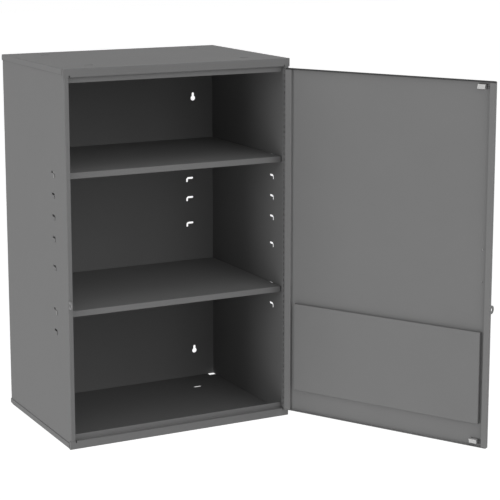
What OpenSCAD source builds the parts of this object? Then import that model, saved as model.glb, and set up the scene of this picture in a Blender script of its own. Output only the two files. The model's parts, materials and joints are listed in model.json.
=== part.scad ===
// Wall cabinet in folded sheet steel: one flush door on a full-height piano hinge, two shelves on
// clips in hook-shaped slots, four keyholes in the back. X runs to the right seen from the front,
// Y runs into the wall, Z is up. The origin is the middle of the four keyholes, on the outer face
// of the back. The door is drawn open.

/* [Cabinet] */
// Width over the top and bottom pans
body_w = 512; // [420:1:640]
// Depth over the front face and the rear flanges
body_d = 367; // [300:1:460]
// Height over the top and bottom pans
body_h = 787; // [740:1:900]
// Sheet thickness of the cabinet
body_t = 1.5; // [1.2:0.1:2]
// Inside radius of every fold in the sheet metal
fold_r = 0.5; // [0.4:0.1:1.2]

/* [Door frame] */
// Width of each jamb's front face, to the outside of the side wall
jamb_w = 10; // [9:0.5:16]
// Depth of the jamb's fold back into the cabinet
jamb_return = 9; // [7:0.5:14]
// Height of the header's and the sill's front face
rail_h = 17.5; // [14:0.5:26]
// Distance from the front face to the stop lips that the door closes against
stop_depth = 9.5; // [9.4:0.1:14]
// Height of the stop lips on header and sill
stop_lip_h = 11.5; // [9:0.5:16]
// Gap between the ends of the ledges and stop lips and the jambs
stop_lip_gap = 2.5; // [0.5:0.1:4]
// Height of the bend reliefs cut into the rails' faces beside the jambs
relief_h = 4; // [3.5:0.5:7]

/* [Pans] */
// Height of the pans' flanges over the sides and the back
flange_h = 12; // [9:0.5:18]
// Depth of the rails' ends, folded back over the sides
rail_end_d = 6.2; // [5:0.1:12]
// Width of the slit between a rail's end and the side flange
flange_slit = 2.2; // [1:0.1:4]
// Height of the gap between the jambs' front faces and the rails
jamb_gap = 0.3; // [0.2:0.1:1]
// Length of the mounting slots in the top and bottom
slot_len = 20; // [16:1:30]
// Width of the mounting slots in the top and bottom
slot_w = 7; // [5:0.5:9]
// Sideways distance between the slots in the top
top_slot_x = 355.6; // [300:0.1:380]
// Front-to-back distance between the slots in the top
top_slot_y = 248; // [180:1:256]
// Sideways distance between the slots in the bottom
bottom_slot_x = 343; // [300:1:370]
// Front-to-back distance between the slots in the bottom
bottom_slot_y = 200; // [160:1:240]
// Width of the open notches at the bottom's rear corners
notch_w = 17; // [8:1:26]
// Depth of the open notches at the bottom's rear corners
notch_d = 12; // [8:1:22]

/* [Keyholes] */
// Sideways distance between the keyholes
keyhole_x = 406.4; // [300:0.1:410]
// Vertical distance between the keyholes
keyhole_z = 602; // [500:1:640]
// Height of the lower keyholes above the cabinet's underside
keyhole_low = 64.5; // [45:0.5:90]
// Diameter of the keyholes' round part
keyhole_d = 11.5; // [9:0.5:14]
// Width of the keyholes' neck
keyhole_neck_w = 6; // [4:0.5:7]
// Height of the neck's end above the round part's centre
keyhole_neck_h = 13; // [9:0.5:18]

/* [Shelf slots] */
// Height of the top row of slots above the cabinet's underside
top_row_h = 572.8; // [540:0.1:590]
// Height of the second group's first row above the cabinet's underside
second_group_h = 376.3; // [360:0.1:386]
// Distance between rows
row_pitch = 45.3; // [42:0.1:47]
// Length of a slot's level leg
hook_len = 18; // [14:0.5:22]
// Height of a slot over its upright leg
hook_h = 11.5; // [10:0.5:15]
// Width of a slot
hook_w = 4.6; // [3.2:0.1:5.4]
// Distance from the front face to the side slots' upright legs
side_slot_y = 64; // [50:1:90]
// Distance from the back slots' outer ends to the side walls' outer faces
back_slot_x = 51.8; // [46:0.1:70]

/* [Shelves] */
// Row that holds the upper shelf, counted down from the top of the first group
upper_row = 0; // [0:1:3]
// Row that holds the lower shelf, counted down from the top of the second group
lower_row = 2; // [2:1:3]
// Sheet thickness of the shelves
shelf_t = 1.2; // [1:0.1:1.5]
// Distance from the front face to the shelves' front edge
shelf_setback = 27; // [22:1:36]
// Gap between the shelves and the side and back walls
shelf_gap = 0.9; // [0.5:0.1:1.5]
// Height of the shelves' flanges
shelf_lip_h = 13; // [11:0.5:20]
// Depth of the fold under the shelves' front lip
shelf_hem = 9; // [6:0.5:14]
// Width of a shelf clip
clip_w = 16; // [10:0.5:18]
// Thickness of a shelf clip
clip_t = 1.2; // [1:0.1:1.5]
// Depth of a clip's ledge under the shelf
clip_ledge = 12; // [8:0.5:16]
// Clearance round a clip in the shelf's flange
clip_notch_gap = 1; // [0.5:0.1:2]
// Clearance of a clip's tail in its slot
tail_gap = 0.3; // [0.2:0.1:0.5]
// Gap between the wall and the clip's tail behind it
tail_seat = 0.1; // [0.05:0.05:0.3]
// Length of a clip's tail turned down behind the wall
tail_drop = 4; // [2.5:0.5:6]

/* [Door] */
// Angle by which the door stands open
open_angle = 119; // [0:1:175]
// Sheet thickness of the door
door_t = 1.2; // [1:0.1:1.5]
// Depth of the door pan
door_d = 8; // [7:0.1:9.2]
// Gap between the door and the header, the sill and the free jamb
door_gap = 1.5; // [1:0.1:3]
// Width of the return flange along the hinge
hinge_side_flange = 15; // [10:0.5:20]
// Gap between the edge of the hinge side's flange, which is turned back in, and the door's skin
channel_gap = 0.5; // [0.3:0.1:1.5]
// Width of the return flange along the free edge
free_side_flange = 12; // [8:0.5:12.5]
// Diameter of the drain holes in the door's lower edge
drain_d = 4; // [3:0.5:5]
// Distance from the hinge side to the first drain hole
drain_first = 56; // [40:1:90]
// Distance from the hinge side to the second drain hole
drain_second = 217; // [180:1:260]
// Distance from the free edge to the last drain hole
drain_last = 47; // [36:1:90]

/* [Hinge] */
// Thickness of the hinge's leaves
leaf_t = 1.2; // [0.8:0.1:1.5]
// Gap between the two leaves when the door is closed
leaf_gap = 0.3; // [0.3:0.1:0.6]
// Radius of the hinge pin
pin_r = 1.6; // [1.2:0.1:2]
// Radial play of the knuckles on the pin
pin_play = 0.05; // [0.03:0.01:0.08]
// Height of one knuckle of each leaf with their gaps, about: the hinge's length is shared out evenly
knuckle_pitch = 12; // [10:1:20]
// Gap between neighbouring knuckles
knuckle_gap = 0.4; // [0.3:0.1:0.8]
// Depth of the notches between the knuckles, behind the front face
knuckle_notch_d = 2; // [0.5:0.5:4]
// Gap between the barrel and the front face
barrel_gap = 0.3; // [0.3:0.1:1]
// Gap between the hinge's ends and the door's ends
hinge_end_gap = 2.5; // [2:0.5:8]

/* [Document pocket] */
// Width of the pocket
pocket_w = 440; // [300:1:442]
// Height of the pocket
pocket_h = 192; // [120:1:280]
// Depth of the pocket, off the inside of the door
pocket_d = 8; // [7:0.5:12]
// Height of the pocket's bottom above the door's lower edge
pocket_low = 49; // [36:1:90]
// Distance from the door's hinge side to the pocket
pocket_side = 25; // [20:1:40]

/* [Padlock eyes] */
// Height of the eyes above the cabinet's underside
eye_h = 307; // [280:1:340]
// Radius of an eye
eye_r = 8.5; // [7:0.5:12]
// Radius of the hole for the shackle
eye_hole_r = 4; // [3:0.5:5]
// Distance from the corner that an eye stands at to the eye
eye_inset = 1; // [0.5:0.1:4]
// Thickness of an eye
eye_t = 2; // [1.5:0.1:3]
// Distance from the front face to the centre of the hole
eye_reach = 5.5; // [5:0.5:9]

/* [Catches] */
// Length of a catch's base plate
catch_len = 25; // [22:1:30]
// Height of a catch's base plate
catch_h = 10; // [9:0.5:12]
// Thickness of a catch's base plate
catch_base_t = 1.2; // [1:0.1:2]
// Length of a catch's magnet
magnet_len = 16; // [10:1:16]
// Height of a catch's magnet
magnet_h = 9; // [6:0.5:9]
// How much less a magnet stands out at the edge near the door's edge than at its other edge
magnet_slope = 3; // [0.5:0.5:4]
// Gap between the magnet and the stop lip's edge with the door closed
magnet_gap = 0.3; // [0.2:0.1:0.8]
// Distance from the door's upper or lower edge to a catch
catch_edge = 6.5; // [5:0.5:8]
// Distance from the free side's flange to a catch
catch_flange_gap = 1; // [0.5:0.5:6]
// Radius of a catch screw's head
catch_head_r = 2.6; // [1.8:0.1:2.8]
// Height of a catch screw's head
catch_head_h = 1.6; // [1:0.1:2.2]

/* [Pull handle] */
// Distance between the handle's screws
handle_span = 65; // [50:1:96]
// Diameter of the handle's rod
handle_rod_d = 8; // [7:0.5:10]
// Distance from the door's face to the grip's outer side
handle_reach = 32; // [28:1:40]
// Radius of the bends on the rod's centre line
handle_bend_r = 10; // [8:0.5:14]
// Distance from the door's free edge to the screws
handle_edge = 21; // [20.5:0.5:40]
// Height of the handle's middle above the cabinet's underside
handle_h = 396; // [360:0.5:430]
// Radius of the handle's screws
handle_screw_r = 2; // [1.5:0.1:2.4]
// Radius of the handle's screw heads
handle_head_r = 3.2; // [2.8:0.1:4.5]
// Height of the handle's screw heads
handle_head_h = 2.4; // [1.6:0.1:3]
// Length of the screws in the handle
handle_screw_len = 9; // [6:0.5:12]
// Radial clearance of screws in their holes
screw_gap = 0.05; // [0.05:0.01:0.3]

/* [Hidden] */
$fn = 48;

paint = [0.33, 0.33, 0.33];
paint_door = [0.37, 0.37, 0.37];
zinc = [0.74, 0.74, 0.72];

// Levels and planes of the cabinet
base_z = -(keyhole_low + keyhole_z / 2);
top_z = base_z + body_h;
front_y = body_t - body_d;
side_x = body_w / 2 - body_t;
jamb_x = side_x - jamb_w;
fold_out = fold_r + body_t;
cut = 1;
lap = 1;

// The door, closed
door_fold_out = fold_r + door_t;
door_hinge_x = jamb_x - 2 * leaf_t - leaf_gap;
door_free_x = -jamb_x + door_gap;
door_low = base_z + rail_h + door_gap;
door_high = top_z - rail_h - door_gap;
door_inside = front_y + door_t;

// The hinge: its barrel stands in front of the jamb's inner corner
barrel_r = pin_r + pin_play + leaf_t;
axis_x = jamb_x - leaf_t + barrel_r;
axis_y = front_y - barrel_gap - barrel_r;
hinge_low = door_low + hinge_end_gap;
hinge_len = door_high - door_low - 2 * hinge_end_gap;
knuckle_pairs = round(hinge_len / knuckle_pitch);
pair_h = hinge_len / knuckle_pairs;
knuckle_h = pair_h / 2 - knuckle_gap;

// The shelves and their clips
shelf_x = side_x - body_t - shelf_gap;
shelf_front = front_y + shelf_setback;
shelf_back = -body_t - shelf_gap;
upper_slot_z = base_z + top_row_h - upper_row * row_pitch;
lower_slot_z = base_z + second_group_h - lower_row * row_pitch;
slot_leg_y = front_y + side_slot_y;
slot_leg_x = side_x - back_slot_x - hook_len;
tail_w = hook_w - 2 * tail_gap;
shelf_over_slot = 0.6;

// A folded sheet seen on edge: straight runs of thickness t along the path's middle line, joined by
// folds of radius r on the middle line. Every run lies along one of the two axes.
module folded(path, t, r) {
    last = len(path) - 1;
    for (i = [0 : last - 1]) {
        step = path[i + 1] - path[i];
        dir = step / norm(step);
        begin = path[i] + dir * (i == 0 ? 0 : r);
        end = path[i + 1] - dir * (i == last - 1 ? 0 : r);
        across = [abs(dir[1]), abs(dir[0])] * t / 2;
        low = [min(begin[0], end[0]), min(begin[1], end[1])] - across;
        translate(low) square([abs(end[0] - begin[0]), abs(end[1] - begin[1])] + 2 * across);
    }
    for (i = [1 : last - 1]) {
        in_step = path[i] - path[i - 1];
        out_step = path[i + 1] - path[i];
        way_in = in_step / norm(in_step);
        way_out = out_step / norm(out_step);
        quarter = way_in - way_out;
        translate(path[i] + (way_out - way_in) * r) intersection() {
            difference() {
                circle(r + t / 2);
                circle(r - t / 2);
            }
            scale_to = r + t;
            translate([min(0, quarter[0] * scale_to), min(0, quarter[1] * scale_to)]) square(scale_to);
        }
    }
}

// A folded sheet whose outline lies in the Y-Z plane, run along X
module sheet_x(path, t, x0, x1) {
    translate([x0, 0, 0]) rotate([90, 0, 90]) linear_extrude(x1 - x0) folded(path, t, fold_r + t / 2);
}

// A folded sheet whose outline lies in the X-Z plane, run along Y
module sheet_y(path, t, y0, y1) {
    translate([0, y1, 0]) rotate([90, 0, 0]) linear_extrude(y1 - y0) folded(path, t, fold_r + t / 2);
}

// A folded sheet whose outline lies in the X-Y plane, run along Z
module sheet_z(path, t, z0, z1) {
    translate([0, 0, z0]) linear_extrude(z1 - z0) folded(path, t, fold_r + t / 2);
}

// Puts its children on both sides of the cabinet
module both_sides() {
    children();
    mirror([1, 0, 0]) children();
}

// A rectangle of four places round a centre
module four_places(dx, dy) {
    for (sx = [-1, 1])
        for (sy = [-1, 1])
            translate([sx * dx / 2, sy * dy / 2]) children();
}

// Turns a piece of the closed door to where the door stands open
module on_door() {
    translate([axis_x, axis_y, 0]) rotate([0, 0, open_angle]) translate([-axis_x, -axis_y, 0]) children();
}

// A slot with round ends, long along X
module slot_2d(length, width) {
    straight = length - width;
    square([straight, width], center = true);
    for (side = [-1, 1]) translate([side * straight / 2, 0]) circle(d = width);
}

// Heights of the rows' upper edges
function row_heights() = concat(
    [for (k = [0 : 3]) base_z + top_row_h - k * row_pitch],
    [for (k = [0, 2, 3]) base_z + second_group_h - k * row_pitch]
);

// A hook-shaped slot: a level leg that turns down into an upright leg. The upright leg's outer
// side is at zero, and the level leg's upper edge too.
module hook_slot_2d() {
    mid = hook_w / 2;
    folded([[hook_len - mid, -mid], [mid, -mid], [mid, mid - hook_h]], hook_w, hook_w * 0.8);
    translate([hook_len - mid, -mid]) circle(d = hook_w);
    translate([mid, mid - hook_h]) circle(d = hook_w);
}

module keyhole_2d() {
    circle(d = keyhole_d);
    neck_end = keyhole_neck_h - keyhole_neck_w / 2;
    translate([-keyhole_neck_w / 2, 0]) square([keyhole_neck_w, neck_end]);
    translate([0, neck_end]) circle(d = keyhole_neck_w);
}

// Both sides, the back and the two jambs are one sheet, folded round the opening
module body_wrap() {
    mid = body_t / 2;
    jamb_mid = jamb_x + mid;
    side_mid = side_x - mid;
    fold_back = front_y + jamb_return;
    rail_cut_d = cut + body_t + jamb_gap;
    color(paint) difference() {
        sheet_z([
            [-jamb_mid, fold_back], [-jamb_mid, front_y + mid],
            [-side_mid, front_y + mid], [-side_mid, -mid],
            [side_mid, -mid], [side_mid, front_y + mid],
            [jamb_mid, front_y + mid], [jamb_mid, fold_back]
        ], body_t, base_z + fold_out, top_z - fold_out);
        // room for the faces of the header and the sill
        for (z = [base_z - cut, top_z - rail_h - jamb_gap])
            translate([-side_x - cut, front_y - cut, z])
                cube([2 * (side_x + cut), rail_cut_d, rail_h + jamb_gap + cut]);
        // keyholes
        translate([0, cut, 0]) rotate([90, 0, 0]) linear_extrude(body_t + 2 * cut)
            four_places(keyhole_x, keyhole_z) keyhole_2d();
        for (z = row_heights()) {
            // slots in the two sides, the upright leg in front
            translate([-side_x - cut, slot_leg_y, z]) rotate([90, 0, 90])
                linear_extrude(2 * (side_x + cut)) hook_slot_2d();
            // slots in the back, the upright leg towards the middle
            both_sides() translate([slot_leg_x, cut, z]) rotate([90, 0, 0])
                linear_extrude(body_t + 2 * cut) hook_slot_2d();
        }
    }
}

// A pan closes the top or the bottom. Its front edge is folded into the rail: face, ledge and stop
// lip. Its sides and rear are flanged over the wrap.
module pan(slots_x, slots_y, corner_w, corner_d) {
    mid = body_t / 2;
    lip_x = jamb_x - stop_lip_gap;
    plate_z = top_z - mid;
    face_y = front_y + mid;
    rear_y = body_t - mid;
    rail_low = top_z - rail_h;
    flange_low = top_z - flange_h;
    rear = [[rear_y, flange_low], [rear_y, plate_z]];
    plate_x = body_w / 2 - fold_out;
    side_start = front_y + rail_end_d + flange_slit;
    difference() {
        union() {
            // plate, rear flange, face, ledge and lip, between the jambs
            sheet_x(concat(rear, [
                [face_y, plate_z], [face_y, rail_low + mid], [front_y + stop_depth + mid, rail_low + mid],
                [front_y + stop_depth + mid, rail_low - stop_lip_h]
            ]), body_t, -lip_x, lip_x);
            both_sides() {
                // plate, rear flange and face, in front of and behind the jamb
                sheet_x(concat(rear, [[face_y, plate_z], [face_y, rail_low]]), body_t, lip_x, plate_x);
                // end of the face, out to the corner and back over the side
                sheet_x([[front_y + rail_end_d, plate_z], [face_y, plate_z], [face_y, rail_low]],
                    body_t, plate_x, body_w / 2);
                translate([side_x, 0, 0]) rotate([90, 0, 90]) linear_extrude(body_t) {
                    translate([front_y, rail_low]) square([rail_end_d, rail_h - fold_out]);
                    translate([front_y + fold_out, rail_low]) square([rail_end_d - fold_out, rail_h]);
                    translate([front_y + fold_out, top_z - fold_out]) circle(fold_out);
                }
                // side flange
                sheet_y([
                    [plate_x - lap, plate_z], [body_w / 2 - mid, plate_z], [body_w / 2 - mid, flange_low]
                ], body_t, side_start, body_t - fold_out);
            }
        }
        translate([0, (front_y + body_t) / 2, top_z - body_t - cut]) linear_extrude(body_t + 2 * cut)
            four_places(slots_x, slots_y) slot_2d(slot_len, slot_w);
        // bend reliefs between the ledge and the parts in front of the jambs
        both_sides() translate([lip_x, front_y - cut, rail_low - cut])
            cube([stop_lip_gap, body_t + 2 * cut, relief_h + cut]);
        // open corner behind the side walls
        both_sides() translate([body_w / 2 - corner_w, body_t - corner_d, top_z - body_t - cut])
            cube([corner_w + cut, corner_d + cut, body_t + 2 * cut]);
    }
}

module top_pan() {
    color(paint) pan(top_slot_x, top_slot_y, fold_out, fold_out);
}

module bottom_pan() {
    color(paint) translate([0, 0, base_z + top_z]) mirror([0, 0, 1])
        pan(bottom_slot_x, bottom_slot_y, notch_w, notch_d);
}

// A shelf is a tray turned upside down, notched over its four clips
module shelf(slot_z) {
    mid = shelf_t / 2;
    out = fold_r + shelf_t;
    plate_z = slot_z + shelf_over_slot - mid;
    lip_low = slot_z + shelf_over_slot - shelf_lip_h;
    front = shelf_front + mid;
    back = shelf_back - mid;
    notch = clip_w + 2 * clip_notch_gap;
    notch_in = out + clip_notch_gap;
    notch_low = lip_low - cut;
    notch_high = plate_z - mid;
    difference() {
        union() {
            sheet_x([
                [shelf_front + shelf_hem, lip_low + mid], [front, lip_low + mid], [front, plate_z],
                [back, plate_z], [back, lip_low]
            ], shelf_t, -shelf_x + out, shelf_x - out);
            both_sides() sheet_y([
                [shelf_x - out - lap, plate_z], [shelf_x - mid, plate_z], [shelf_x - mid, lip_low]
            ], shelf_t, shelf_front + out, shelf_back - out);
        }
        both_sides() {
            translate([shelf_x - notch_in, slot_leg_y + hook_w / 2 - notch / 2, notch_low])
                cube([notch_in + cut, notch, notch_high - notch_low]);
            translate([slot_leg_x + hook_w / 2 - notch / 2, shelf_back - notch_in, notch_low])
                cube([notch, notch_in + cut, notch_high - notch_low]);
        }
    }
}

module upper_shelf() {
    color(paint) shelf(upper_slot_z);
}

module lower_shelf() {
    color(paint) shelf(lower_slot_z);
}

// A clip against a wall that faces -Y: plate, ledge under the shelf, and a tail that passes through
// the slot's upright leg and turns down behind the wall. The wall's inner face is at zero, and the
// middle of the upright leg too. Its height is that of the slot's upper edge.
module clip() {
    ledge_top = shelf_over_slot - shelf_t;
    tail_low = hook_w / 2 - hook_h;
    tail_h = hook_h - 1.5 * hook_w;
    behind = body_t + tail_seat;
    translate([-clip_w / 2, -clip_t, -hook_h]) cube([clip_w, clip_t, hook_h + ledge_top]);
    translate([-clip_w / 2, -clip_ledge, ledge_top - clip_t]) cube([clip_w, clip_ledge, clip_t]);
    translate([-tail_w / 2, 0, tail_low]) cube([tail_w, behind + clip_t, tail_h]);
    translate([-tail_w / 2, behind, tail_low - tail_drop]) cube([tail_w, clip_t, tail_drop + tail_h]);
}

module side_clips(slot_z) {
    both_sides() translate([side_x - body_t, slot_leg_y + hook_w / 2, slot_z]) rotate([0, 0, -90]) clip();
}

module back_clips(slot_z) {
    both_sides() translate([slot_leg_x + hook_w / 2, -body_t, slot_z]) clip();
}

module upper_side_clips() {
    color(zinc) side_clips(upper_slot_z);
}

module upper_back_clips() {
    color(zinc) back_clips(upper_slot_z);
}

module lower_side_clips() {
    color(zinc) side_clips(lower_slot_z);
}

module lower_back_clips() {
    color(zinc) back_clips(lower_slot_z);
}

// One leaf of the piano hinge: a plate along the edge that it is welded to, and a row of knuckles
// curled from its front edge. The other leaf's knuckles fit in the notches.
module hinge_leaf(plate_x, depth, neck_w, first_knuckle) {
    notch_h = pair_h - knuckle_h;
    notch_low = first_knuckle + knuckle_h;
    neck_y = front_y + barrel_gap;
    notch_y = front_y + knuckle_notch_d;
    lowest = first_knuckle > 0 ? -1 : 0;
    difference() {
        translate([0, 0, hinge_low]) linear_extrude(hinge_len) difference() {
            union() {
                translate([plate_x, axis_y]) square([leaf_t, front_y + depth - axis_y]);
                translate([plate_x, axis_y]) square([neck_w, neck_y - axis_y]);
                translate([axis_x, axis_y]) circle(barrel_r);
            }
            translate([axis_x, axis_y]) circle(pin_r + pin_play);
        }
        for (k = [lowest : knuckle_pairs - 1]) {
            // the uppermost notch runs out at the leaf's end
            past_end = k == knuckle_pairs - 1 ? cut : 0;
            translate([plate_x - cut, axis_y - barrel_r - cut, hinge_low + notch_low + k * pair_h])
                cube([2 * barrel_r + 4 * cut, barrel_r + cut + notch_y - axis_y, notch_h + past_end]);
        }
    }
}

module frame_hinge_leaf() {
    color(paint) hinge_leaf(jamb_x - leaf_t, jamb_return - leaf_t, leaf_t, 0);
}

module door_hinge_leaf() {
    color(paint_door) on_door()
        hinge_leaf(door_hinge_x, door_d - leaf_t, leaf_gap + 1.5 * leaf_t, pair_h / 2);
}

module hinge_pin() {
    color(zinc) translate([axis_x, axis_y, hinge_low]) cylinder(r = pin_r, h = hinge_len);
}

// The door is a shallow pan with return flanges along both upright edges. The one along the hinge
// is turned back in towards the skin and makes a channel.
module door_pan() {
    mid = door_t / 2;
    skin = front_y + mid;
    inner = front_y + door_d - mid;
    free = door_free_x + mid;
    hinge = door_hinge_x - mid;
    channel = door_hinge_x - hinge_side_flange + mid;
    low = door_low + door_fold_out + lap;
    high = door_high - door_fold_out - lap;
    drains = [door_hinge_x - drain_first, door_hinge_x - drain_second, door_free_x + drain_last];
    drain_y = front_y + 2 / 3 * door_d;
    color(paint_door) on_door() difference() {
        union() {
            sheet_z([
                [channel, door_inside + channel_gap], [channel, inner], [hinge, inner], [hinge, skin],
                [free, skin], [free, inner], [door_free_x + free_side_flange, inner]
            ], door_t, door_low + door_fold_out, door_high - door_fold_out);
            sheet_x([[front_y + door_d, door_high - mid], [skin, door_high - mid], [skin, high]],
                door_t, door_free_x + door_fold_out, door_hinge_x - door_fold_out);
            sheet_x([[front_y + door_d, door_low + mid], [skin, door_low + mid], [skin, low]],
                door_t, door_free_x + door_fold_out, door_hinge_x - door_fold_out);
        }
        for (x = drains)
            translate([x, drain_y, door_low - cut]) cylinder(d = drain_d, h = door_t + 2 * cut);
        handle_places() rotate([90, 0, 0])
            cylinder(r = handle_screw_r + screw_gap, h = 2 * door_t + 2 * cut, center = true);
    }
}

// The pocket is open at the top. Its sides and bottom are folded back to the door's skin.
module document_pocket() {
    mid = door_t / 2;
    right = door_hinge_x - pocket_side;
    left = right - pocket_w;
    low = door_low + pocket_low;
    high = low + pocket_h;
    face = door_inside + pocket_d - mid;
    color(paint_door) on_door() {
        sheet_z([
            [right - mid, door_inside], [right - mid, face], [left + mid, face], [left + mid, door_inside]
        ], door_t, low + door_fold_out, high);
        sheet_x([[door_inside, low + mid], [face, low + mid], [face, low + door_fold_out + lap]],
            door_t, left + door_fold_out, right - door_fold_out);
    }
}

// A padlock eye stands on a face that looks along -Y. Its thickness runs from x to x + eye_t.
module padlock_eye(x) {
    translate([x, front_y, base_z + eye_h]) rotate([90, 0, 90]) linear_extrude(eye_t) difference() {
        union() {
            translate([-eye_reach, -eye_r]) square([eye_reach, 2 * eye_r]);
            intersection() {
                translate([-eye_reach, 0]) circle(eye_r);
                translate([-eye_reach - eye_r, -eye_r]) square([eye_r, 2 * eye_r]);
            }
        }
        translate([-eye_reach, 0]) circle(eye_hole_r);
    }
}

module frame_padlock_eye() {
    color(paint) padlock_eye(-side_x + eye_inset);
}

module door_padlock_eye() {
    color(paint_door) on_door() padlock_eye(door_free_x + eye_inset);
}

// A catch lies on the inside of the door's skin, next to the free side's flange
module catch_place(low_z) {
    translate([door_free_x + free_side_flange + catch_flange_gap, door_inside, low_z]) children();
}

upper_catch_z = door_high - catch_edge - catch_h;
lower_catch_z = door_low + catch_edge;
catch_ear_len = catch_len - magnet_len;

module catch_base(low_z) {
    color(zinc) on_door() catch_place(low_z) cube([catch_len, catch_base_t, catch_h]);
}

module upper_catch_base() {
    catch_base(upper_catch_z);
}

module lower_catch_base() {
    catch_base(lower_catch_z);
}

// A magnet whose face slopes towards the stop lip: with the door closed the face meets the lip's
// edge. As drawn here the door's edge is above.
module catch_magnet() {
    low = (catch_h - magnet_h) / 2;
    high = low + magnet_h;
    covered = stop_lip_h - door_gap - catch_edge - low;
    reach_at_lip = stop_depth - magnet_gap - door_t - catch_base_t;
    reach_high = reach_at_lip - magnet_slope * covered / magnet_h;
    translate([catch_ear_len, catch_base_t, 0]) rotate([90, 0, 90]) linear_extrude(magnet_len)
        polygon([[0, low], [reach_high + magnet_slope, low], [reach_high, high], [0, high]]);
}

module upper_catch_magnet() {
    color(zinc) on_door() catch_place(upper_catch_z) catch_magnet();
}

module lower_catch_magnet() {
    color(zinc) on_door() catch_place(lower_catch_z)
        translate([0, 0, catch_h]) mirror([0, 0, 1]) catch_magnet();
}

// Round heads of the screws that hold the catches
module catch_screws() {
    color(zinc) on_door() for (z = [upper_catch_z, lower_catch_z])
        catch_place(z) translate([catch_ear_len / 2, catch_base_t, catch_h / 2]) rotate([-90, 0, 0])
            cylinder(r = catch_head_r, h = catch_head_h);
}

// The two places on the door's face where the handle is screwed on
module handle_places() {
    for (side = [-1, 1])
        translate([door_free_x + handle_edge, front_y, base_z + handle_h + side * handle_span / 2])
            children();
}

// A bow handle bent from round rod: two legs, two bends and the grip
module pull_handle() {
    rod_r = handle_rod_d / 2;
    leg = handle_reach - rod_r - handle_bend_r;
    grip = handle_span - 2 * handle_bend_r;
    color(zinc) on_door() difference() {
        translate([door_free_x + handle_edge, front_y, base_z + handle_h]) {
            for (side = [0, 1]) mirror([0, 0, side]) translate([0, 0, handle_span / 2]) {
                rotate([90, 0, 0]) cylinder(r = rod_r, h = leg);
                translate([0, -leg, -handle_bend_r]) rotate([0, -90, 0]) rotate([0, 0, -90])
                    rotate_extrude(angle = 90) translate([handle_bend_r, 0]) circle(rod_r);
            }
            translate([0, rod_r - handle_reach, -grip / 2]) cylinder(r = rod_r, h = grip);
        }
        handle_places() rotate([90, 0, 0])
            translate([0, 0, -cut]) cylinder(r = handle_screw_r + screw_gap, h = handle_screw_len + cut);
    }
}

// Pan-head screws from the inside of the door into the handle's legs
module handle_screws() {
    color(zinc) on_door() handle_places() rotate([90, 0, 0]) {
        translate([0, 0, -door_t]) cylinder(r = handle_screw_r, h = door_t + handle_screw_len - screw_gap);
        translate([0, 0, -door_t - handle_head_h]) cylinder(r = handle_head_r, h = handle_head_h);
    }
}

body_wrap();
top_pan();
bottom_pan();
upper_shelf();
lower_shelf();
upper_side_clips();
upper_back_clips();
lower_side_clips();
lower_back_clips();
frame_hinge_leaf();
hinge_pin();
frame_padlock_eye();
door_hinge_leaf();
door_pan();
document_pocket();
door_padlock_eye();
upper_catch_base();
lower_catch_base();
upper_catch_magnet();
lower_catch_magnet();
catch_screws();
pull_handle();
handle_screws();
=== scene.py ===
import json
import math

import bpy
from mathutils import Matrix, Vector

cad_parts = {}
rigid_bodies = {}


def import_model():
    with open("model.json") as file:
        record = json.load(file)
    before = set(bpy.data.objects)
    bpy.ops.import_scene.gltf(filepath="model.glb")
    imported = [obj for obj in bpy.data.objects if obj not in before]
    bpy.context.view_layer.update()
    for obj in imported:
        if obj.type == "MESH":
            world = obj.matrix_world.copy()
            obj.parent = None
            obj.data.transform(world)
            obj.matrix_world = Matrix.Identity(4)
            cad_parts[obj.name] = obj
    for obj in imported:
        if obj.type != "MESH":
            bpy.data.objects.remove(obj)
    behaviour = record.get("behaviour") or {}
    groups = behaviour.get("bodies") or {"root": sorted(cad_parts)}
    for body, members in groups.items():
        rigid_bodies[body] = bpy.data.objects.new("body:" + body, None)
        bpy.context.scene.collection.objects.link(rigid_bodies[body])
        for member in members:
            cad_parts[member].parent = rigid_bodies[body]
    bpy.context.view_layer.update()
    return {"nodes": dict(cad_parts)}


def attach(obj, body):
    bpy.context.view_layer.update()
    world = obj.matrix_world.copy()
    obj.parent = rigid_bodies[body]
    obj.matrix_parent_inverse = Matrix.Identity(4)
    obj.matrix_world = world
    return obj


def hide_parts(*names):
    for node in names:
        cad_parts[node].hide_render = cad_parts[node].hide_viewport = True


bpy.ops.object.select_all(action="SELECT")
bpy.ops.object.delete()
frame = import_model()
nodes = frame["nodes"]

# Body wrap. Sides, back and jambs are one sheet of 1.5 mm steel, punched, folded
# and sprayed with mid-grey powder that is baked to a hard, fine-pored skin. The
# shelf slots and keyholes are punched before it is painted.


def new_group(name, inputs, outputs):
    """An empty shader node group with named sockets, and what goes in and comes out."""
    group = bpy.data.node_groups.new(name, "ShaderNodeTree")
    for label, kind, value in inputs:
        socket = group.interface.new_socket(name=label, in_out="INPUT", socket_type=kind)
        socket.default_value = value
    for label, kind in outputs:
        group.interface.new_socket(name=label, in_out="OUTPUT", socket_type=kind)
    return group, group.nodes.new("NodeGroupInput").outputs, group.nodes.new("NodeGroupOutput").inputs


def add(tree, kind, links=(), **settings):
    """A node with its settings; links are (input, value or output socket) pairs."""
    node = tree.nodes.new(kind)
    for key, value in settings.items():
        setattr(node, key, value)
    for socket, value in links:
        if isinstance(value, bpy.types.NodeSocket):
            tree.links.new(value, node.inputs[socket])
        else:
            node.inputs[socket].default_value = value
    return node


def calc(tree, operation, *values):
    """The result of a Math node on numbers or output sockets."""
    return add(tree, "ShaderNodeMath", enumerate(values), operation=operation).outputs[0]


def ramp(tree, value, start, end, low=0.0, high=1.0):
    """Goes from low to high while the value goes from start to end."""
    node = add(tree, "ShaderNodeMapRange", [
        ("Value", value), ("From Min", start), ("From Max", end), ("To Min", low), ("To Max", high)])
    return node.outputs[0]


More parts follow.
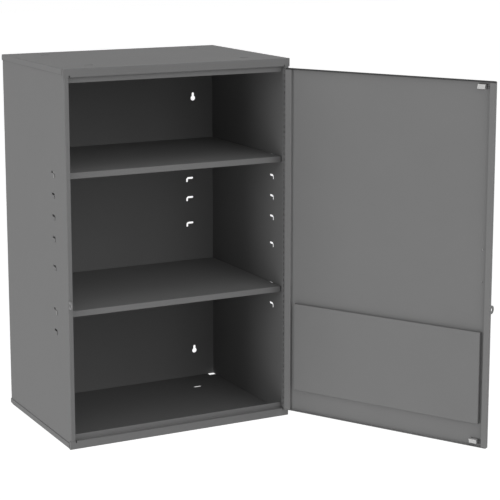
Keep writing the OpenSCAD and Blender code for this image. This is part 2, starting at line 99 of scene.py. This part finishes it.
def noise(tree, place, scale, detail):
    """The grey value of a cloudy pattern, with about scale clouds to the metre."""
    node = add(tree, "ShaderNodeTexNoise", [("Vector", place), ("Scale", scale), ("Detail", detail)])
    return node.outputs["Fac"]


def scaled(tree, tone, gain):
    """A colour times a number."""
    node = add(tree, "ShaderNodeVectorMath", [(0, tone), ("Scale", gain)], operation="SCALE")
    return node.outputs[0]


def place_on(tree):
    """A point's place on the object, in metres."""
    return add(tree, "ShaderNodeTexCoord").outputs["Object"]


def split(tree, vector):
    """The x, y and z of a vector."""
    return add(tree, "ShaderNodeSeparateXYZ", [(0, vector)]).outputs


def hand_out(group, gout, **results):
    """Links results to the group's outputs of the same names."""
    for label, result in results.items():
        group.links.new(result, gout[label])


def powder_skin():
    """Powder paint: slow tone drift, pores and orange peel."""
    drift_scale, pore_scale, peel_scale = 5.0, 900.0, 320.0
    pore_tone, pore_depth, rough_swing = 0.6, 0.35, 0.16
    group, gin, gout = new_group(
        "powder_skin",
        [("Tone", "NodeSocketColor", (0.19, 0.19, 0.19, 1)), ("Drift", "NodeSocketFloat", 0.05),
         ("Roughness", "NodeSocketFloat", 0.5), ("Peel", "NodeSocketFloat", 0.3)],
        [("Color", "NodeSocketColor"), ("Roughness", "NodeSocketFloat"), ("Height", "NodeSocketFloat")])
    place = place_on(group)
    drift = noise(group, place, drift_scale, detail=3.0)
    pores = noise(group, place, pore_scale, detail=2.0)
    peel = noise(group, place, peel_scale, detail=1.5)
    slow = calc(group, "SUBTRACT", drift, 0.5)
    fine = calc(group, "SUBTRACT", pores, 0.5)
    both = calc(group, "MULTIPLY_ADD", fine, pore_tone, slow)
    gain = calc(group, "MULTIPLY_ADD", both, gin["Drift"], 1.0)
    rough = calc(group, "MULTIPLY_ADD", both, rough_swing, gin["Roughness"])
    relief = calc(group, "MULTIPLY_ADD", pores, pore_depth, peel)
    height = calc(group, "MULTIPLY", relief, gin["Peel"])
    hand_out(group, gout, Color=scaled(group, gin["Tone"], gain), Roughness=rough, Height=height)
    return group


def coated(name, tone, skin_group, relief, strength, **values):
    """A finish whose tone, roughness and fine relief come from a skin group with its values."""
    mat = bpy.data.materials.new(name)
    mat.use_nodes = True
    mat.diffuse_color = (*tone, 1)
    tree = mat.node_tree
    shader = tree.nodes["Principled BSDF"]
    skin = add(tree, "ShaderNodeGroup", [("Tone", (*tone, 1)), *values.items()], node_tree=skin_group)
    bump = add(tree, "ShaderNodeBump", [("Height", skin.outputs["Height"]), ("Distance", relief),
                                        ("Strength", strength)])
    tree.links.new(skin.outputs["Color"], shader.inputs["Base Color"])
    tree.links.new(skin.outputs["Roughness"], shader.inputs["Roughness"])
    tree.links.new(bump.outputs["Normal"], shader.inputs["Normal"])
    return mat, shader


powder_group = powder_skin()


def powder_paint(name, tone, drift, rough, peel):
    """A powder-painted steel sheet, with a faint gloss."""
    relief, strength, gloss = 0.00006, 0.5, 0.06
    mat, shader = coated(name, tone, powder_group, relief, strength,
                         Drift=drift, Roughness=rough, Peel=peel)
    shader.inputs["Specular IOR Level"].default_value = gloss
    return mat


def finish_with(mat, *names):
    """Gives CAD nodes their finish."""
    for name in names:
        data = nodes[name].data
        data.materials.clear()
        data.materials.append(mat)


def points_of(name):
    """The corners of a CAD node's mesh."""
    return [v.co for v in nodes[name].data.vertices]


def painted_shade_coat():
    """Painted shade: the tone turns to Shade times itself where Mask is 1."""
    group, gin, gout = new_group(
        "painted_shade_coat",
        [("Color", "NodeSocketColor", (0.2, 0.2, 0.2, 1)), ("Mask", "NodeSocketFloat", 0.0),
         ("Shade", "NodeSocketFloat", 1.0)],
        [("Color", "NodeSocketColor")])
    loss = calc(group, "SUBTRACT", gin["Shade"], 1.0)
    gain = calc(group, "MULTIPLY_ADD", gin["Mask"], loss, 1.0)
    hand_out(group, gout, Color=scaled(group, gin["Color"], gain))
    return group


painted_shade_group = painted_shade_coat()


def paint_shade(mat, mask, shade):
    """Puts painted shade between a finish's tone and its shader."""
    tree = mat.node_tree
    base = tree.nodes["Principled BSDF"].inputs["Base Color"]
    shaded = add(tree, "ShaderNodeGroup", [("Color", base.links[0].from_socket), ("Mask", mask),
                                         ("Shade", shade)], node_tree=painted_shade_group)
    tree.links.new(shaded.outputs["Color"], base)


def paint_lap_shade(mat, edge_high, edge_low, side_x, shade):
    """Painted shade: darkens the wrap's outside where it runs in under the pans' flanges."""
    high_starts, high_full = 0.0011, 0.0002
    low_starts, low_full = 0.0006, 0.0001
    outer_skin = 0.0005
    tree = mat.node_tree
    x, y, z = split(tree, place_on(tree))
    above = ramp(tree, z, edge_high - high_starts, edge_high - high_full)
    below = ramp(tree, z, edge_low + low_starts, edge_low + low_full)
    ends = calc(tree, "MAXIMUM", above, below)
    flank = calc(tree, "GREATER_THAN", calc(tree, "ABSOLUTE", x), side_x - outer_skin)
    rear = calc(tree, "GREATER_THAN", y, -outer_skin)
    outside = calc(tree, "MAXIMUM", flank, rear)
    paint_shade(mat, calc(tree, "MULTIPLY", ends, outside), shade)


cabinet_high = max(c.z for c in points_of("top_pan"))
cabinet_low = min(c.z for c in points_of("bottom_pan"))
flange_h = 0.012
wrap_paint = powder_paint("wrap_grey_powder", (0.20, 0.20, 0.20), drift=0.10, rough=0.64, peel=0.5)
# painted shade: a dark band on the wrap's outside just inside the pans' flanges, for the lap seams
paint_lap_shade(wrap_paint, cabinet_high - flange_h, cabinet_low + flange_h,
             max(c.x for c in points_of("body_wrap")), shade=0.45)
finish_with(wrap_paint, "body_wrap")

# Top and bottom pans. Each closes one end of the wrap: its front edge is folded
# into the header or the sill with a stop lip, its sides and rear are flanged over
# the wrap and spot welded. Same powder as the wrap.
cabinet_paint = powder_paint("cabinet_grey_powder", (0.20, 0.20, 0.20), drift=0.10, rough=0.64, peel=0.5)
finish_with(cabinet_paint, "top_pan", "bottom_pan")

# Shelves. Trays of 1.2 mm sheet turned upside down, painted apart from the
# cabinet and laid on their clips. Their grey is a lighter copy of the cabinet's, as painted light.
shelf_paint = powder_paint("shelf_grey_powder", (0.215, 0.215, 0.215), drift=0.10, rough=0.62, peel=0.5)
finish_with(shelf_paint, "upper_shelf", "lower_shelf")

# Shelf clips. Small punched angles, zinc plated: a ledge under the shelf and a
# tail that hooks through the slot.


def plated_skin():
    """Zinc or steel as plated: soft cloudy tone, fine drawn lines in the surface."""
    cloud_scale, line_scale = 260.0, (500.0, 500.0, 6000.0)
    rough_swing = 0.3
    group, gin, gout = new_group(
        "plated_skin",
        [("Tone", "NodeSocketColor", (0.6, 0.6, 0.58, 1)), ("Cloud", "NodeSocketFloat", 0.12),
         ("Roughness", "NodeSocketFloat", 0.3), ("Lines", "NodeSocketFloat", 0.2)],
        [("Color", "NodeSocketColor"), ("Roughness", "NodeSocketFloat"), ("Height", "NodeSocketFloat")])
    place = place_on(group)
    cloud = noise(group, place, cloud_scale, detail=3.0)
    stretch = add(group, "ShaderNodeMapping", [("Vector", place), ("Scale", line_scale)])
    lines = noise(group, stretch.outputs[0], 1.0, detail=2.0)
    off = calc(group, "SUBTRACT", cloud, 0.5)
    gain = calc(group, "MULTIPLY_ADD", off, gin["Cloud"], 1.0)
    rough = calc(group, "MULTIPLY_ADD", off, rough_swing, gin["Roughness"])
    height = calc(group, "MULTIPLY", lines, gin["Lines"])
    hand_out(group, gout, Color=scaled(group, gin["Tone"], gain), Roughness=rough, Height=height)
    return group


plated_group = plated_skin()


def plated(name, tone, cloud, rough, lines, metallic=1.0):
    """A plated or bright steel small part."""
    relief, strength = 0.00003, 0.4
    mat, shader = coated(name, tone, plated_group, relief, strength,
                         Cloud=cloud, Roughness=rough, Lines=lines)
    shader.inputs["Metallic"].default_value = metallic
    return mat


clip_zinc = plated("clip_dull_zinc_plate", (0.26, 0.26, 0.255), cloud=0.25, rough=0.45, lines=0.3,
                   metallic=0.4)
finish_with(clip_zinc, "upper_side_clips", "upper_back_clips", "lower_side_clips", "lower_back_clips")

# Piano hinge. Two leaves of 1.2 mm strip curled round a bright drawn pin, welded to the jamb and to
# the door's edge and sprayed with them. The pin is bare, and the door leaf's knuckles get painted shade.
hinge_paint = powder_paint("hinge_grey_powder", (0.205, 0.205, 0.205), drift=0.12, rough=0.6, peel=0.6)
finish_with(hinge_paint, "frame_hinge_leaf")
knuckle_shade_paint = powder_paint("hinge_knuckle_shade_powder", (0.205, 0.205, 0.205), drift=0.12, rough=0.6, peel=0.6)


def combined(tree, x, y, z):
    """A vector from three numbers or output sockets."""
    return add(tree, "ShaderNodeCombineXYZ", enumerate((x, y, z))).outputs[0]


def middle(values):
    """Halfway between the lowest and the highest value."""
    return (max(values) + min(values)) / 2


def paint_knuckle_shade(mat, axis, shade_starts, shade_full, shade):
    """Painted shade: darkens the tone near the hinge's axis, for the gaps between the knuckles."""
    tree = mat.node_tree
    x, y, _ = split(tree, place_on(tree))
    far = add(tree, "ShaderNodeVectorMath", [(0, combined(tree, x, y, 0.0)), (1, axis)],
              operation="DISTANCE").outputs["Value"]
    paint_shade(mat, ramp(tree, far, shade_starts, shade_full), shade)


pin_points = points_of("hinge_pin")
pin_axis = (middle([c.x for c in pin_points]), middle([c.y for c in pin_points]), 0)
# the knuckles are 2.85 mm in radius, and the painted shade reaches a little beyond them
shade_starts, shade_full = 0.0037, 0.0032
paint_knuckle_shade(knuckle_shade_paint, pin_axis, shade_starts, shade_full, shade=0.15)
finish_with(knuckle_shade_paint, "door_hinge_leaf")
pin_steel = plated("hinge_pin_bright_steel", (0.5, 0.5, 0.5), cloud=0.1, rough=0.28, lines=0.5)
finish_with(pin_steel, "hinge_pin")

# Padlock eyes. Two punched tabs welded to the left jamb and to the door, side by
# side when the door is shut, for one padlock's shackle. Painted with the rest; the jamb's eye has a
# lighter copy of the grey, as painted light.
lit_eye_paint = powder_paint("eye_grey_powder", (0.25, 0.25, 0.25), drift=0.10, rough=0.55, peel=0.4)
finish_with(lit_eye_paint, "frame_padlock_eye")

# Door. A shallow pan of 1.2 mm sheet with return flanges along both upright
# edges; the document pocket is spot welded inside it. Its own coat of powder is a lighter
# copy of the cabinet's grey, as painted light.
door_open = math.radians(119)
door_along = Vector((math.cos(door_open), math.sin(door_open), 0))
door_inward = Vector((-door_along.y, door_along.x, 0))


def measured(tree, place, direction):
    """How far a place lies along a direction."""
    node = add(tree, "ShaderNodeVectorMath", [(0, place), (1, direction)], operation="DOT_PRODUCT")
    return node.outputs["Value"]


def paint_edge_shade(mat, edge_z, edge_h, skin_at, shade):
    """Painted shade: darkens the door's inside along its upper edge, below the top wall."""
    tree = mat.node_tree
    place = place_on(tree)
    near = ramp(tree, split(tree, place)[2], edge_z - edge_h, edge_z - edge_h / 2)
    inside = calc(tree, "GREATER_THAN", measured(tree, place, door_inward), skin_at)
    paint_shade(mat, calc(tree, "MULTIPLY", near, inside), shade)


door_points = points_of("door_pan")
# painted light: the door's grey is a lighter copy of the cabinet's
door_paint = powder_paint("door_grey_powder", (0.226, 0.226, 0.226), drift=0.10, rough=0.64, peel=0.5)
# painted shade along the inside of the door's upper edge
edge_shade_h, outer_face_t = 0.0045, 0.0004
paint_edge_shade(door_paint, max(c.z for c in door_points), edge_shade_h,
                 min(door_inward.dot(c) for c in door_points) + outer_face_t, shade=0.3)
finish_with(door_paint, "door_pan", "document_pocket", "door_padlock_eye")

# Magnetic catches. A block magnet between two bright pole plates on a dark steel base, one near
# the door's upper edge and one near the lower, each held by a pan-head screw with a cross recess.


def magnet_case(name, block, face_tone, plate_tone, plate_share):
    """The magnet's dull face with a bright pole plate at each end."""
    plate_edge_t = 0.0003
    mat = plated(name, face_tone, cloud=0.10, rough=0.45, lines=0.1, metallic=0.35)
    tree = mat.node_tree
    base = tree.nodes["Principled BSDF"].inputs["Base Color"]
    spots = [door_along.dot(c) for c in points_of(block)]
    plate_at = (max(spots) - min(spots)) / 2 * (1 - plate_share)
    off = calc(tree, "SUBTRACT", measured(tree, place_on(tree), door_along), middle(spots))
    plate = ramp(tree, calc(tree, "ABSOLUTE", off), plate_at, plate_at + plate_edge_t)
    first_colour, second_colour, mixed_colour = 6, 7, 2
    mix = add(tree, "ShaderNodeMix", [
        (0, plate), (first_colour, base.links[0].from_socket), (second_colour, (*plate_tone, 1))],
        data_type="RGBA")
    tree.links.new(mix.outputs[mixed_colour], base)
    return mat


catch_base = plated("catch_dark_base", (0.045, 0.045, 0.045), cloud=0.2, rough=0.45, lines=0.2,
                    metallic=0.2)
finish_with(catch_base, "upper_catch_base", "lower_catch_base")
for end in ("upper", "lower"):
    magnet = end + "_catch_magnet"
    case = magnet_case(end + "_magnet_case", magnet, face_tone=(0.52, 0.52, 0.515),
                       plate_tone=(0.62, 0.62, 0.615), plate_share=0.12)
    finish_with(case, magnet)


def pan_head_tree():
    """Geometry Nodes: one pan-head screw on each point, head, cross recess and shank."""
    head_sides, shank_sides, dome_drop, bar_reach = 40, 24, 0.4, 1.2
    tree = bpy.data.node_groups.new("pan_head_screws", "GeometryNodeTree")
    face = tree.interface
    face.new_socket(name="Places", in_out="INPUT", socket_type="NodeSocketGeometry")
    for label, kind in (("Head Radius", "NodeSocketFloat"), ("Head Height", "NodeSocketFloat"),
                        ("Recess Width", "NodeSocketFloat"), ("Shank Radius", "NodeSocketFloat"),
                        ("Shank Length", "NodeSocketFloat"), ("Outward", "NodeSocketVector"),
                        ("Seed", "NodeSocketInt"), ("Finish", "NodeSocketMaterial")):
        face.new_socket(name=label, in_out="INPUT", socket_type=kind)
    face.new_socket(name="Screws", in_out="OUTPUT", socket_type="NodeSocketGeometry")
    gin = tree.nodes.new("NodeGroupInput").outputs
    gout = tree.nodes.new("NodeGroupOutput").inputs
    radius, height, width = gin["Head Radius"], gin["Head Height"], gin["Recess Width"]

    # a round blank, domed towards its rim
    blank = add(tree, "GeometryNodeMeshCylinder", [
        ("Vertices", head_sides), ("Side Segments", 3), ("Fill Segments", 5), ("Radius", radius),
        ("Depth", height)])
    x, y, z = split(tree, add(tree, "GeometryNodeInputPosition").outputs[0])
    out_by = add(tree, "ShaderNodeVectorMath", [(0, combined(tree, x, y, 0.0))], operation="LENGTH")
    share = calc(tree, "DIVIDE", out_by.outputs["Value"], radius)
    drop = calc(tree, "MULTIPLY_ADD", calc(tree, "POWER", share, 2.0), -dome_drop, 1.0)
    up = calc(tree, "MULTIPLY_ADD", height, 0.5, z)
    domed = calc(tree, "MULTIPLY", up, drop)
    head = add(tree, "GeometryNodeSetPosition", [
        ("Geometry", blank.outputs["Mesh"]), ("Position", combined(tree, x, y, domed))])

    # the recess is cut by two crossed bars
    reach = calc(tree, "MULTIPLY", radius, bar_reach)
    bar = add(tree, "GeometryNodeMeshCube", [("Size", combined(tree, reach, width, height))])
    bar_up = combined(tree, 0.0, 0.0, height)
    cut = add(tree, "GeometryNodeMeshBoolean", [("Mesh 1", head.outputs[0])], operation="DIFFERENCE")
    for quarter in (0.0, math.pi / 2):
        placed = add(tree, "GeometryNodeTransform", [
            ("Geometry", bar.outputs["Mesh"]), ("Translation", bar_up), ("Rotation", (0, 0, quarter))])
        tree.links.new(placed.outputs[0], cut.inputs["Mesh 2"])

    # the shank, where there is one
    rod = add(tree, "GeometryNodeMeshCylinder", [
        ("Vertices", shank_sides), ("Radius", gin["Shank Radius"]), ("Depth", gin["Shank Length"])])
    down = calc(tree, "MULTIPLY", gin["Shank Length"], -0.5)
    shank = add(tree, "GeometryNodeTransform", [
        ("Geometry", rod.outputs["Mesh"]), ("Translation", combined(tree, 0.0, 0.0, down))])
    has = calc(tree, "GREATER_THAN", gin["Shank Length"], 0.0)
    shown = add(tree, "GeometryNodeSwitch", [("Switch", has), ("True", shank.outputs[0])],
                input_type="GEOMETRY")
    screw = add(tree, "GeometryNodeJoinGeometry")
    tree.links.new(cut.outputs["Mesh"], screw.inputs[0])
    tree.links.new(shown.outputs[0], screw.inputs[0])

    # each one looks outward and is turned as the screwdriver left it
    most_turn, turn_out = 3, 1
    outward = add(tree, "FunctionNodeAlignRotationToVector", [("Vector", gin["Outward"])], axis="Z")
    turn = add(tree, "FunctionNodeRandomValue", [("Seed", gin["Seed"])], data_type="FLOAT")
    turn.inputs[most_turn].default_value = math.pi / 2
    spin = add(tree, "FunctionNodeAxisAngleToRotation", [
        ("Axis", (0, 0, 1)), ("Angle", turn.outputs[turn_out])])
    turned = add(tree, "FunctionNodeRotateRotation", [
        ("Rotation", outward.outputs[0]), ("Rotate By", spin.outputs[0])], rotation_space="LOCAL")
    many = add(tree, "GeometryNodeInstanceOnPoints", [
        ("Points", gin["Places"]), ("Instance", screw.outputs[0]), ("Rotation", turned.outputs[0])])
    real = add(tree, "GeometryNodeRealizeInstances", [("Geometry", many.outputs[0])])
    done = add(tree, "GeometryNodeSetMaterial", [
        ("Geometry", real.outputs[0]), ("Material", gin["Finish"])])
    tree.links.new(done.outputs[0], gout["Screws"])
    return tree


pan_heads = pan_head_tree()


def screws_for(node, name, body, finish, slot, **sizes):
    """Pan-head screws in place of a node that holds two plain ones."""
    crease = math.radians(35)
    corners = points_of(node)
    between = middle([c.z for c in corners])
    under_head = max(door_inward.dot(c) for c in corners) - sizes["Head_Height"]
    places = []
    for half in ([c for c in corners if c.z > between], [c for c in corners if c.z < between]):
        at = door_along * middle([door_along.dot(c) for c in half]) + door_inward * under_head
        places.append((at.x, at.y, middle([c.z for c in half])))
    mesh = bpy.data.meshes.new(name + "_places")
    mesh.from_pydata(places, [], [])
    screws = bpy.data.objects.new(name, mesh)
    bpy.context.scene.collection.objects.link(screws)
    modifier = screws.modifiers.new("screws", "NODES")
    modifier.node_group = pan_heads
    values = {key.replace("_", " "): value for key, value in sizes.items()}
    values.update({"Outward": tuple(door_inward), "Finish": finish})
    for item in pan_heads.interface.items_tree:
        if item.in_out == "INPUT" and item.name in values:
            modifier[item.identifier] = values[item.name]
    shown = screws.evaluated_get(bpy.context.evaluated_depsgraph_get())
    screws.data = bpy.data.meshes.new_from_object(shown)
    screws.modifiers.remove(modifier)
    screws.data.name = name
    screws.data.shade_smooth()
    screws.data.set_sharp_from_angle(angle=crease)
    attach(screws, body)
    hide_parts(node)


catch_screw_zinc = plated("catch_screw_zinc_plate", (0.30, 0.30, 0.30), cloud=0.2, rough=0.4, lines=0.1,
                          metallic=0.6)
screws_for("catch_screws", "catch_pan_heads", "door", catch_screw_zinc, "screw_zinc",
           Head_Radius=0.0026, Head_Height=0.0016, Recess_Width=0.0009, Shank_Radius=0.0011,
           Shank_Length=0.0, Seed=3)

# Pull handle. A bow bent from 8 mm rod, satin chromed, held by two pan-head screws of the same
# make as the catches' ones. Their heads lie inside the door, their shanks in the handle's legs.
handle_chrome = plated("handle_satin_chrome", (0.55, 0.55, 0.555), cloud=0.05, rough=0.24, lines=0.15)
finish_with(handle_chrome, "pull_handle")
handle_screw_zinc = plated("handle_screw_dark_zinc", (0.22, 0.22, 0.22), cloud=0.2, rough=0.3, lines=0.2)
screws_for("handle_screws", "handle_pan_heads", "door", handle_screw_zinc, "screw_zinc",
           Head_Radius=0.0032, Head_Height=0.0024, Recess_Width=0.0011, Shank_Radius=0.002,
           Shank_Length=0.01, Seed=8)

# Camera, at the photograph's place: a little above the cabinet, to its left,
# turned down slightly. The lens is given by its focal length in the photograph's pixels.
camera_at = (-1.4352, -3.4103, 0.7495)
camera_yaw = 27.668
camera_pitch = 10.315
focal_px, photo_px, sensor_mm = 1644.8, 500, 36
camera_data = bpy.data.cameras.new("camera")
camera_data.sensor_width = sensor_mm
camera_data.lens = focal_px / photo_px * sensor_mm
camera_data.shift_y = -0.1
camera = bpy.data.objects.new("camera", camera_data)
bpy.context.scene.collection.objects.link(camera)
camera.location = camera_at
camera.rotation_euler = (math.radians(90 - camera_pitch), 0, math.radians(-camera_yaw))
bpy.context.scene.camera = camera
bpy.context.scene.view_settings.view_transform = "Standard"

# Studio. A wide pale floor well below the cabinet, which hangs on its wall, a sky that is brighter
# overhead, and three soft lamps. To the camera and in gloss, sky and floor look white, but the
# floor keeps a soft part of the shadow.
floor_z = -1.6
floor_half = 30.0
floor_glow = 0.53
floor_mesh = bpy.data.meshes.new("studio_floor")
floor_mesh.from_pydata([(-floor_half, -floor_half, floor_z), (floor_half, -floor_half, floor_z),
                        (floor_half, floor_half, floor_z), (-floor_half, floor_half, floor_z)],
                       [], [(0, 1, 2, 3)])
floor = bpy.data.objects.new("studio_floor", floor_mesh)
bpy.context.scene.collection.objects.link(floor)
floor_white = bpy.data.materials.new("studio_white")
floor_white.use_nodes = True
tree = floor_white.node_tree
tree.nodes.clear()
ray = add(tree, "ShaderNodeLightPath").outputs
seen = calc(tree, "MAXIMUM", ray["Is Camera Ray"], ray["Is Glossy Ray"])
matt = add(tree, "ShaderNodeBsdfDiffuse", [("Color", (0.8, 0.8, 0.8, 1))])
shine = add(tree, "ShaderNodeEmission", [
    ("Color", (floor_glow, floor_glow, floor_glow, 1)), ("Strength", seen)])
both = add(tree, "ShaderNodeAddShader", [(0, matt.outputs[0]), (1, shine.outputs[0])])
add(tree, "ShaderNodeOutputMaterial", [("Surface", both.outputs[0])])
floor_mesh.materials.append(floor_white)

sky_level, sky_overhead = 0.17, 0.82
world = bpy.data.worlds.new("studio_sky")
bpy.context.scene.world = world
world.use_nodes = True
tree = world.node_tree
tree.nodes.clear()
ray = add(tree, "ShaderNodeLightPath").outputs
direct = calc(tree, "MAXIMUM", ray["Is Camera Ray"], ray["Is Transmission Ray"])
seen = calc(tree, "MAXIMUM", direct, ray["Is Glossy Ray"])
steep = split(tree, add(tree, "ShaderNodeTexCoord").outputs["Generated"])[2]
level = ramp(tree, steep, 0.0, 1.0, sky_level, sky_overhead)
sky = add(tree, "ShaderNodeBackground", [("Color", (1, 1, 1, 1)), ("Strength", level)])
white = add(tree, "ShaderNodeBackground", [("Color", (1, 1, 1, 1)), ("Strength", 1.0)])
mix = add(tree, "ShaderNodeMixShader", [(0, seen), (1, sky.outputs[0]), (2, white.outputs[0])])
add(tree, "ShaderNodeOutputWorld", [("Surface", mix.outputs[0])])


def soft_lamp(name, at, target, size, watts):
    """A square softbox that faces a point."""
    data = bpy.data.lights.new(name, "AREA")
    data.shape = "SQUARE"
    data.size = size
    data.energy = watts
    lamp = bpy.data.objects.new(name, data)
    bpy.context.scene.collection.objects.link(lamp)
    lamp.location = at
    lamp.rotation_euler = (Vector(target) - Vector(at)).to_track_quat("-Z", "Y").to_euler()


soft_lamp("lamp_left", at=(-4.0, -0.6, 0.2), target=(-0.2, -0.2, 0), size=2.5, watts=60)
soft_lamp("lamp_front", at=(0.3, -4.8, 1.8), target=(0, -0.3, 0), size=3.0, watts=35)
soft_lamp("lamp_right", at=(3.2, -3.6, 1.4), target=(0, -0.35, 0.2), size=2.5, watts=28)
